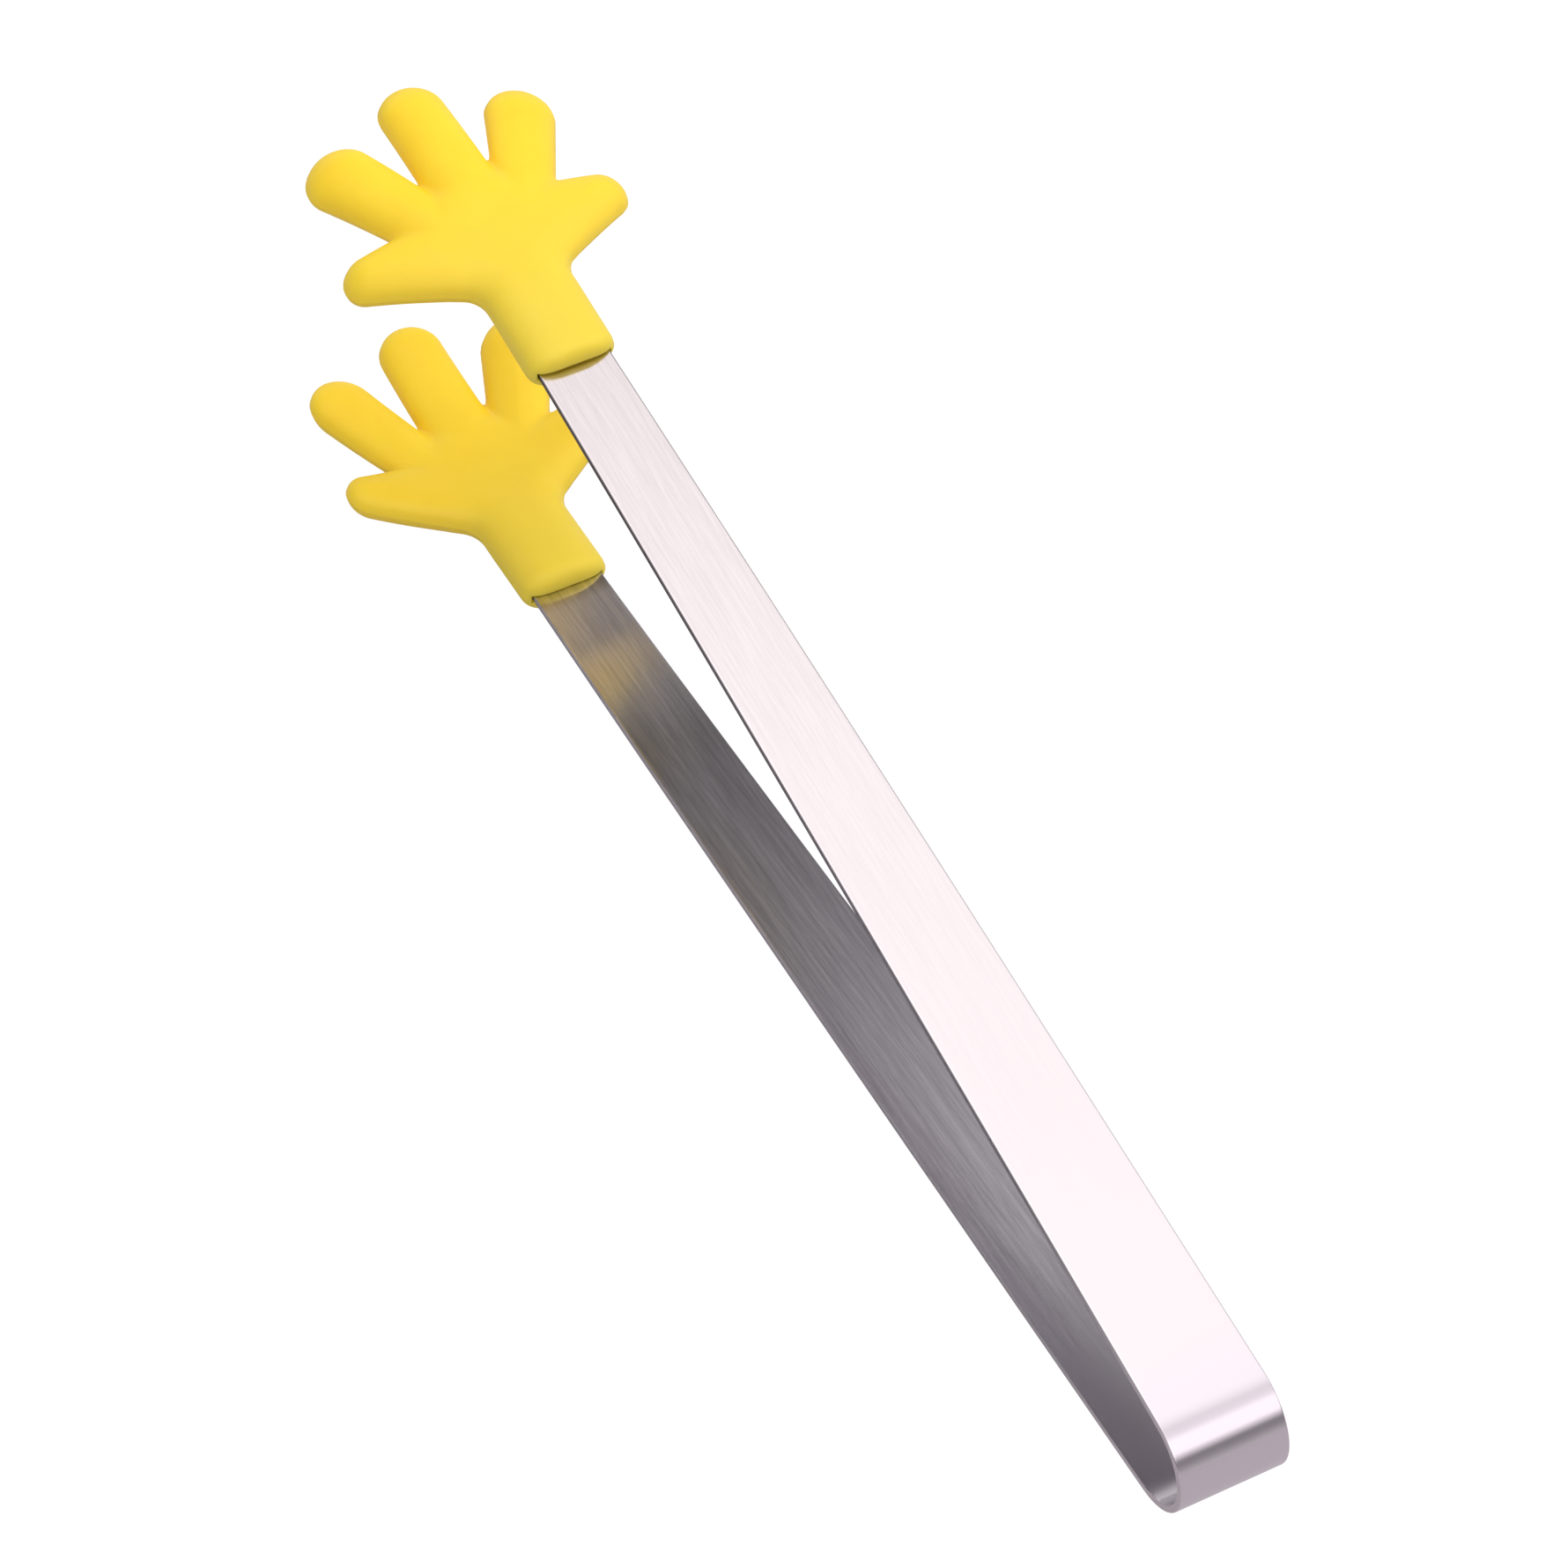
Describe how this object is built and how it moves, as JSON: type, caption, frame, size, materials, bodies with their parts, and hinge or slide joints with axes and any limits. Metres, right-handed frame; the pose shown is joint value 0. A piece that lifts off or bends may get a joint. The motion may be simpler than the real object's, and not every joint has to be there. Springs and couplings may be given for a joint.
{
  "type": "kitchen tongs",
  "caption": "Small spring kitchen tongs: a bent steel strip with two splayed arms, each ending in a soft open hand with spread fingers.",
  "frame": {"origin": "centre of the spring bow's bend, on the middle plane between the arms and at the middle of the strip's width", "axes": "+X from the bow towards the hands, +Y across the strip's width, +Z from the lower arm to the upper arm"},
  "size_m": [0.1491, 0.0274, 0.0374],
  "materials": {
    "strip_steel": "fine lengthwise brushing",
    "hand_silicone": "satin silicone"
  },
  "bodies": {
    "bow": {"spring_bow": "strip_steel"},
    "upper_inner": {"upper_arm_inner": "strip_steel"},
    "upper_outer": {"upper_arm_outer": "strip_steel", "upper_hand": "hand_silicone"},
    "lower_inner": {"lower_arm_inner": "strip_steel"},
    "lower_outer": {"lower_arm_outer": "strip_steel", "lower_hand": "hand_silicone"}
  },
  "joints": [
    {"name": "squeeze", "type": "hinge", "parent": "bow", "child": "upper_inner", "pos_m": [0.00498, 0, 0.00543], "axis": [0, 1, 0], "range_deg": [-2, 3.55], "stiffness_Nm_per_rad": 2},
    {"name": "upper_mid_flex", "type": "hinge", "parent": "upper_inner", "child": "upper_outer", "pos_m": [0.03433, 0, 0.00838], "axis": [0, 1, 0], "range_deg": [-1.41, 2.5], "stiffness_Nm_per_rad": 1.4},
    {"name": "lower_root_flex", "type": "hinge", "parent": "bow", "child": "lower_inner", "pos_m": [0.00498, 0, -0.00543], "axis": [0, -1, 0], "range_deg": [-2, 3.55], "stiffness_Nm_per_rad": 2},
    {"name": "lower_mid_flex", "type": "hinge", "parent": "lower_inner", "child": "lower_outer", "pos_m": [0.03433, 0, -0.00838], "axis": [0, -1, 0], "range_deg": [-1.41, 2.5], "stiffness_Nm_per_rad": 1.4}
  ],
  "couplings": [
    {"joint": "upper_mid_flex", "follows": "squeeze", "ratio": 0.7},
    {"joint": "lower_root_flex", "follows": "squeeze", "ratio": 1},
    {"joint": "lower_mid_flex", "follows": "squeeze", "ratio": 0.7}
  ]
}
